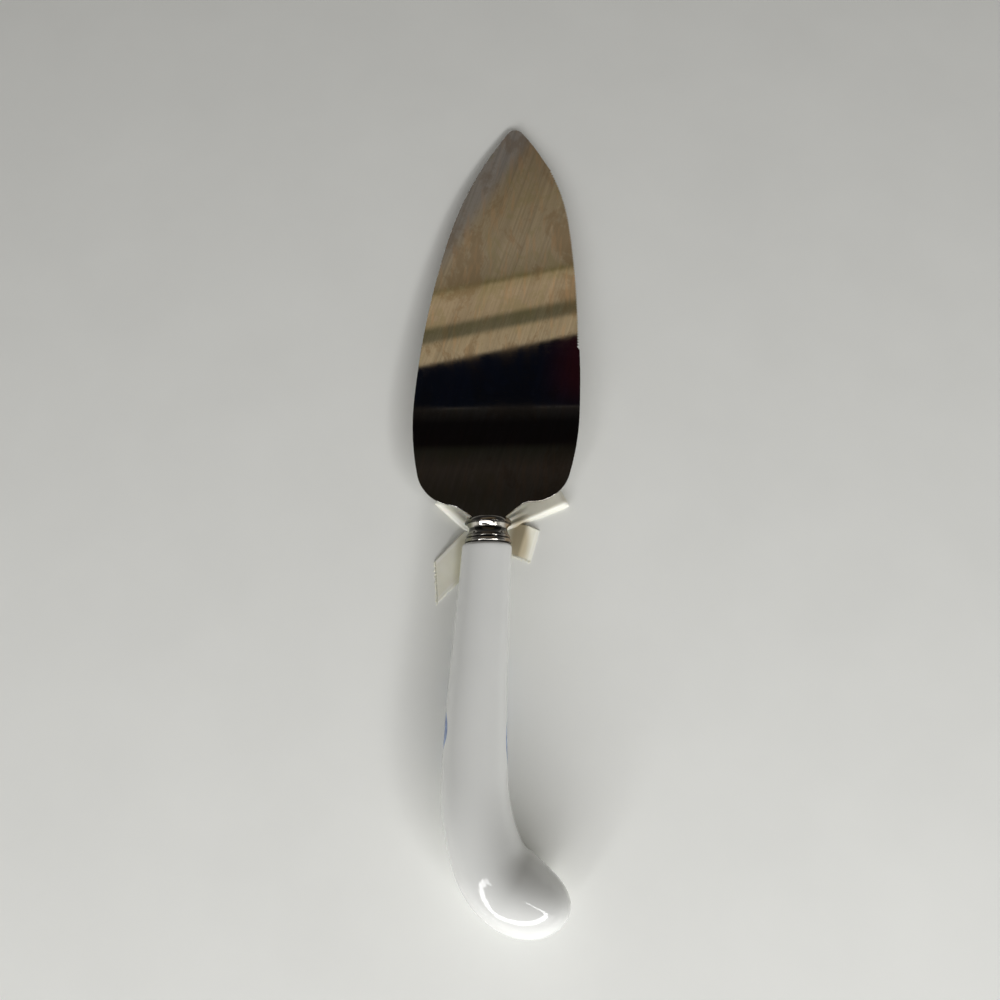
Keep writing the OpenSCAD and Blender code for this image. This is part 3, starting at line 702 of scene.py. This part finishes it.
# A loop runs out along the table, turns back at its end and comes in again above; side is 1 at the right
def loopShape(kind, side):
    length, half, table, start = kind["length"], ribbon["width"] / 2, ribbon["table"], ribbon["loopStart"]
    endHigh, rootHigh = ribbon["loopHigh"]
    endRadius = endHigh / 2
    flatRun = length - endRadius - start
    arcRun = math.pi * endRadius
    total = 2 * flatRun + arcRun

    def shape(share, across):
        run = share * total
        front = -side * across  # +1 at the edge that faces the handle
        if run < flatRun:
            u, z, upper = start + run, table, 0.0
        elif run < flatRun + arcRun:
            turn = (run - flatRun) / endRadius
            u = length - endRadius + endRadius * math.sin(turn)
            z = table + endRadius - endRadius * math.cos(turn)
            upper = smoothStep(turn / math.pi)
        else:
            back = run - flatRun - arcRun
            u = length - endRadius - back
            z = table + endHigh + (rootHigh - endHigh) * smoothStep(back / flatRun * ribbon["loopEase"])
            upper = 1.0
        spread = min(max(u, 0) / (kind["spread"] * length), 1)
        width = half * (ribbon["gather"] + (1 - ribbon["gather"]) * spread)
        fromRoot = u - ribbon["pleatFrom"]
        near = 1 - smoothStep(fromRoot / ribbon["pleatRun"])
        deep = ribbon["pleatLow"] + (1 - ribbon["pleatLow"]) * upper
        z += kind["pleat"] * near * deep * (1 + math.cos(ribbon["pleatWaves"] * math.pi * across))
        curl = max(front - ribbon["curlFrom"], 0) / (1 - ribbon["curlFrom"])
        curl **= ribbon["curlPower"]
        z -= upper * kind["curl"] * curl * smoothStep(fromRoot / ribbon["curlRun"])
        z -= upper * kind["tilt"] * (1 - front) / 2 * smoothStep((fromRoot + 1) / ribbon["curlRun"])
        return Vector((u, across * width, max(z, table)))

    return shape, total


def atRoot(root, turn):
    shift = Matrix.Translation((root[0] * mm, (root[1] + ribbon["rootUp"]) * mm, 0))
    return atKnot @ shift @ Matrix.Rotation(math.radians(turn), 4, "Z")


def makeLoops():
    for name, side in (("left", -1), ("right", 1)):
        kind = ribbon["loops"][name]
        shape, total = loopShape(kind, side)
        stripPiece("bowLoop" + name.title(), 72, 20, shape, atRoot((0, 0), kind["turn"]),
                   ["bow_loop_" + name], total + 2)


# A tail falls from the knot to the table; a crease lifts a ridge along it
def tailShape(kind):
    length, half, table = kind["length"], ribbon["width"] / 2, ribbon["table"]
    slant = math.tan(math.radians(kind["slant"]))
    middle, high = kind["crease"]

    def shape(share, across):
        width = half * (kind["gather"] + (1 - kind["gather"]) * smoothStep(share / ribbon["tailSpread"]))
        u = share * (length - slant * across * half)
        if high:
            slope = abs(across - middle) / (1 + middle if across < middle else 1 - middle)
            ridge = high * (1 - slope) * (1 - ribbon["creaseFade"] * share)
            return Vector((u, across * width, table + ribbon["creaseUp"] + ridge))
        fall = min(share / ribbon["tailFall"], 1.0)
        pleat = (1 + math.cos(ribbon["tailPleatWaves"] * math.pi * across)) / 2
        pleat *= 1 - smoothStep(share / ribbon["tailPleatRun"])
        sideways, onwards = ribbon["tailWaves"]
        wave = fall * (1 + math.sin(sideways * across + onwards * share)) / 2
        z = table + ribbon["tailRise"] * (1 - fall)
        z += ribbon["tailPleat"] * pleat + ribbon["tailWave"] * wave
        top = ribbon["tailSwell"]
        z += kind["swell"] * min(smoothStep(share / top), (1 - share) / (1 - top))
        return Vector((u, across * width, z))

    return shape


# Cut ends are frayed: short loose threads stand out past the last weft
def makeFray(name, shape, place, seed):
    dice = random.Random(seed)
    turnMost, stray, radius = ribbon["threadTurn"], ribbon["threadStray"], ribbon["threadRadius"]
    bm = bmesh.new()
    for i in range(ribbon["threads"]):
        across = -1 + 2 * (i + 0.5 + dice.uniform(-stray, stray)) / ribbon["threads"]
        foot, inner = shape(1.0, across), shape(ribbon["threadFoot"], across)
        way = (foot - inner).normalized()
        way = Matrix.Rotation(math.radians(dice.uniform(-turnMost, turnMost)), 3, "Z") @ way
        way.z += dice.uniform(0, ribbon["threadLift"])
        length = dice.uniform(*ribbon["threadLong"])
        turned = way.to_track_quat("Z", "Y").to_matrix().to_4x4()
        lifted = foot + way * (length / 2 - ribbon["threadSunk"]) + Vector((0, 0, ribbon["threadUp"]))
        bmesh.ops.create_cone(bm, cap_ends=True, segments=4, radius1=radius,
                              radius2=ribbon["threadTaper"] * radius, depth=length,
                              matrix=Matrix.Translation(lifted) @ turned)
    bmesh.ops.scale(bm, vec=(mm, mm, mm), verts=bm.verts)
    bmesh.ops.transform(bm, matrix=place, verts=bm.verts)
    return showPiece(name, meshFrom(name, bm), threadPaint, (), 180)


def makeTails():
    for seed, (name, kind) in enumerate(ribbon["tails"].items()):
        shape, place = tailShape(kind), atRoot(kind["root"], kind["turn"])
        fray = makeFray("fray" + name.title(), shape, place, seed)
        stripPiece("bowTail" + name.title(), 48, 20, shape, place, ["bow_tail_" + name],
                   kind["length"])


# The knot is a flattened ring round the middle, padded on top
def knotShape(share, across):
    knot = ribbon["knot"]
    turn = share * math.tau
    y, z = math.cos(turn), math.sin(turn)
    power = knot["square"]
    squarish = (abs(y) ** power + abs(z) ** power) ** (-1 / power)
    y, z = knot["deep"] * y * squarish, knot["middle"] + knot["high"] * z * squarish
    if z > knot["padFrom"]:
        z += knot["pad"] * (1 - smoothStep((abs(y) - knot["padHalf"]) / knot["padEdge"]))
    pinch = 1 - knot["pinch"] * math.cos(knot["pinchWaves"] * math.pi * across)
    ends = 1 - knot["ends"] * across ** knot["endPower"]
    return Vector((across * knot["long"] / 2, y * pinch * ends, z * ends + knot["up"]))


def makeKnot():
    stripPiece("bowKnot", 64, 20, knotShape, atKnot, ["bow_knot"], ribbon["knot"]["run"])


makeLoops()
makeTails()
makeKnot()
print("bow done")


room = {
    "floorColour": (0.915, 0.92, 0.885), "floorShade": 0.97, "floorCloud": (30.0, 3.0), "floorDull": 0.55,
    "floorShine": 0.3, "floorHalf": 3.0, "floorUnder": 0.05 * mm, "backdrop": (0.8, 0.81, 0.79),
    "lampMiddle": (20 * mm, -120 * mm, 12 * mm), "lampFar": 1.1,
    # A bright band round the front: azimuth and elevation of each lamp's ends, its width and brightness
    "strips": [
        ((-36, 69), (-43, 57), 2.0, 6), ((-43, 57), (-44.5, 42), 3, 8), ((-44.5, 42), (-40, 30), 5, 9),
        ((-40, 30), (-33, 18), 8, 9.5), ((-33, 18), (-27, 14.5), 9, 9.5), ((-27, 14.5), (-7, 23), 10, 9.5),
        ((-7, 23), (27, 30.5), 11, 10.5), ((27, 30.5), (52, 33), 10, 11), ((52, 33), (62, 38), 7, 10),
        ((62, 38), (66.4, 51.5), 3.5, 9), ((66.4, 51.5), (72.5, 68.5), 3, 8),
        ((30, 22), (60, 28), 20, 1.2),
    ],
    # Walls by height, and how much lighter they are in front than behind
    "walls": [(0.0, (0.36, 0.36, 0.35)), (0.2, (0.18, 0.18, 0.175)), (0.5, (0.09, 0.09, 0.09)),
              (0.9, (0.09, 0.09, 0.09)), (1.0, (0.12, 0.12, 0.12))],
    "frontAndBack": (1.7, 0.4), "frontFade": (-0.5, 0.4),
    # The ceiling's limits in front, behind and at the sides, and the lowest height that counts
    "nearEnd": (0.05, 0.2), "farEnd": (1.25, 1.5), "sideEnds": (0.6, 1.1), "horizon": 0.02,
    # Ceiling beams from near to far, and the dark part nearer than them
    "beamSkew": 0.31, "beamReach": (0.5, 1.3),
    "beams": [(0.0, (0.003, 0.004, 0.008)), (0.159, (0.003, 0.004, 0.008)), (0.168, (0.4, 0.31, 0.19)),
              (0.21, (0.38, 0.29, 0.17)), (0.222, (0.14, 0.12, 0.07)), (0.248, (0.13, 0.11, 0.06)),
              (0.262, (0.36, 0.27, 0.16)), (0.31, (0.4, 0.3, 0.18)), (0.337, (0.34, 0.26, 0.14)),
              (0.346, (0.17, 0.135, 0.062)), (0.36, (0.23, 0.18, 0.11)), (0.43, (0.28, 0.22, 0.14)),
              (0.56, (0.24, 0.185, 0.11)), (0.68, (0.19, 0.145, 0.09)), (0.8, (0.155, 0.115, 0.07)),
              (0.88, (0.135, 0.11, 0.085)), (1.0, (0.2, 0.19, 0.18))],
    "darkSkew": 0.086, "darkReach": (0.3, 0.6),
    "dark": [(0.0, (0.017, 0.015, 0.012)), (0.2, (0.017, 0.014, 0.011)), (0.34, (0.024, 0.019, 0.015)),
             (0.45, (0.013, 0.012, 0.009)), (0.49, (0.004, 0.003, 0.003)), (0.62, (0.0035, 0.003, 0.003)),
             (0.69, (0.012, 0.011, 0.010)), (0.7, (0.014, 0.013, 0.011)), (0.708, (0.036, 0.033, 0.03)),
             (0.718, (0.003, 0.004, 0.007)), (1.0, (0.0025, 0.0035, 0.007))],
    # Where the dark part ends; then a dim red patch at its right, and a pale haze over the far left
    "seam": (0.6, 0.2, 0.01),
    "red": (0.02, 0.004, 0.006), "redShare": 0.9, "redAcross": (0.03, 0.12), "redBack": (0.5, 0.58),
    "redBeams": (0.625, 0.632),
    "haze": (0.17, 0.16, 0.15), "hazeShare": 0.75, "hazeEdge": (1.07, 0.47), "hazeFade": (-0.035, 0.005),
    "hazeBack": (0.72, 0.8),
}


def towards(azimuth, elevation):
    a, e = math.radians(azimuth), math.radians(elevation)
    return Vector((math.sin(a) * math.cos(e), -math.cos(a) * math.cos(e), math.sin(e)))


def addLamp(name, start, end, wide, shine):
    far = room["lampFar"]
    first, second = towards(*start) * far, towards(*end) * far
    middle, along = (first + second) / 2, second - first
    facing = middle.normalized()
    side = along.normalized()
    up = facing.cross(side).normalized()
    side = up.cross(facing)
    lamp = bpy.data.lights.new(name, "AREA")
    lamp.shape = "RECTANGLE"
    lamp.size = along.length
    lamp.size_y = 2 * far * math.tan(math.radians(wide / 2))
    lamp.energy = shine * math.pi * lamp.size * lamp.size_y
    holder = bpy.data.objects.new(name, lamp)
    place = Matrix.Translation(Vector(room["lampMiddle"]) + middle)
    holder.matrix_world = place @ Matrix((side, up, facing)).transposed().to_4x4()
    holder.visible_camera = False
    scene.collection.objects.link(holder)


def makeFloor():
    bm = bmesh.new()
    bmesh.ops.create_grid(bm, x_segments=1, y_segments=1, size=room["floorHalf"])
    mesh = meshFrom("floor", bm, False)
    floor = bpy.data.objects.new("floor", mesh)
    floor.location = (0, 0, -room["floorUnder"])
    scene.collection.objects.link(floor)
    material, tree, shader = newMaterial("paleFloor")
    cloud = noiseAt(tree, objectPlace(tree), *room["floorCloud"])
    pale = room["floorColour"]
    tree.links.new(ramp(tree, cloud, [(0.3, shade(pale, room["floorShade"])), (0.7, pale)]),
                   shader.inputs["Base Color"])
    shader.inputs["Roughness"].default_value = room["floorDull"]
    shader.inputs["Specular IOR Level"].default_value = room["floorShine"]
    mesh.materials.append(material)


# The ceiling as the blade mirrors it: back and across are distances over the height
def paintCeiling(tree, back, across):
    beamAt = minus(tree, back, times(tree, across, room["beamSkew"]))
    ceiling = ramp(tree, between(tree, beamAt, *room["beamReach"], smooth=False), room["beams"])
    darkAt = minus(tree, back, times(tree, across, room["darkSkew"]))
    dark = ramp(tree, between(tree, darkAt, *room["darkReach"], smooth=False), room["dark"])
    seamBack, seamSlope, soft = room["seam"]
    seam = maths(tree, "ADD", seamBack, times(tree, across, seamSlope))
    isFar = between(tree, minus(tree, back, seam), -soft, soft)
    ceiling = mixColours(tree, isFar, dark, ceiling)
    atRight = between(tree, across, *room["redAcross"])
    beforeBeams = between(tree, beamAt, *room["redBeams"], 1.0, 0.0)
    red = times(tree, atRight, times(tree, between(tree, back, *room["redBack"]), beforeBeams))
    ceiling = mixColours(tree, times(tree, red, room["redShare"]), ceiling, room["red"])
    edgeBack, edgeSlope = room["hazeEdge"]
    edge = maths(tree, "ADD", across, times(tree, minus(tree, edgeBack, back), edgeSlope))
    atLeft = between(tree, edge, *room["hazeFade"], 1.0, 0.0)
    haze = times(tree, atLeft, between(tree, back, *room["hazeBack"]))
    return mixColours(tree, times(tree, haze, room["hazeShare"]), ceiling, room["haze"])


def makeWorld():
    world = bpy.data.worlds.new("room")
    scene.world = world
    world.use_nodes = True
    tree = world.node_tree
    tree.nodes.clear()
    way = addNode(tree, "ShaderNodeTexCoord").outputs["Generated"]
    split = addNode(tree, "ShaderNodeSeparateXYZ", {0: way})
    x, y, z = split.outputs[0], split.outputs[1], split.outputs[2]
    high = maths(tree, "MAXIMUM", z, room["horizon"])
    back, across = maths(tree, "DIVIDE", y, high), maths(tree, "DIVIDE", x, high)
    front = between(tree, y, *room["frontFade"], *room["frontAndBack"])
    front = addNode(tree, "ShaderNodeCombineXYZ", {0: front, 1: front, 2: front}).outputs[0]
    walls = mixColours(tree, 1.0, ramp(tree, z, room["walls"]), front, "MULTIPLY")
    wide = maths(tree, "ABSOLUTE", across)
    overhead = times(tree, between(tree, back, *room["nearEnd"]),
                     between(tree, wide, *room["sideEnds"], 1.0, 0.0))
    overhead = times(tree, overhead, between(tree, back, *room["farEnd"], 1.0, 0.0))
    colour = mixColours(tree, overhead, walls, paintCeiling(tree, back, across))
    cameraRay = addNode(tree, "ShaderNodeLightPath").outputs["Is Camera Ray"]
    seen = mixColours(tree, cameraRay, colour, room["backdrop"])
    background = addNode(tree, "ShaderNodeBackground", {"Color": seen, "Strength": 1.0})
    output = tree.nodes.new("ShaderNodeOutputWorld")
    tree.links.new(background.outputs[0], output.inputs[0])


makeFloor()
makeWorld()
for number, strip in enumerate(room["strips"]):
    addLamp("strip%02d" % number, *strip)
print("room done")
